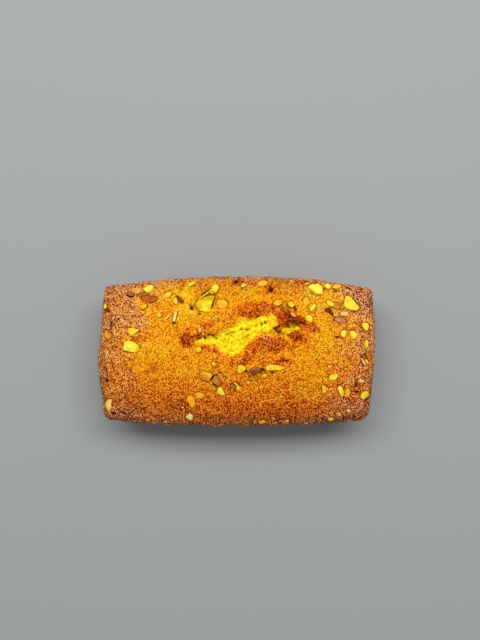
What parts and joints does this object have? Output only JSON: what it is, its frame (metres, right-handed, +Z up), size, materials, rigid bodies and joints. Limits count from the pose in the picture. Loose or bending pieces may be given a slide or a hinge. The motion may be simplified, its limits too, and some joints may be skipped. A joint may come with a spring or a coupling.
{
  "type": "financier cake",
  "caption": "Oblong almond tea cake with a domed, split top, tapered sides and chopped nuts baked into its crust.",
  "frame": {"origin": "middle of the underside, on the surface that the cake rests on", "axes": "+X along the cake's length, +Y across it, +Z up through the domed top"},
  "size_m": [0.0958, 0.052, 0.0267],
  "materials": {
    "crust": "matte, grainy browned crust",
    "nut": "satin cut face"
  },
  "bodies": {
    "root": {"cake": "crust", "nut_half_kernel": "nut", "nut_chunk_left": "nut", "nut_chunk_right": "nut", "nut_chunk_rim": "nut", "nut_sliver": "nut", "nut_chunk_front": "nut", "nut_chunk_middle": "nut", "nut_chunk_low": "nut"}
  },
  "joints": []
}
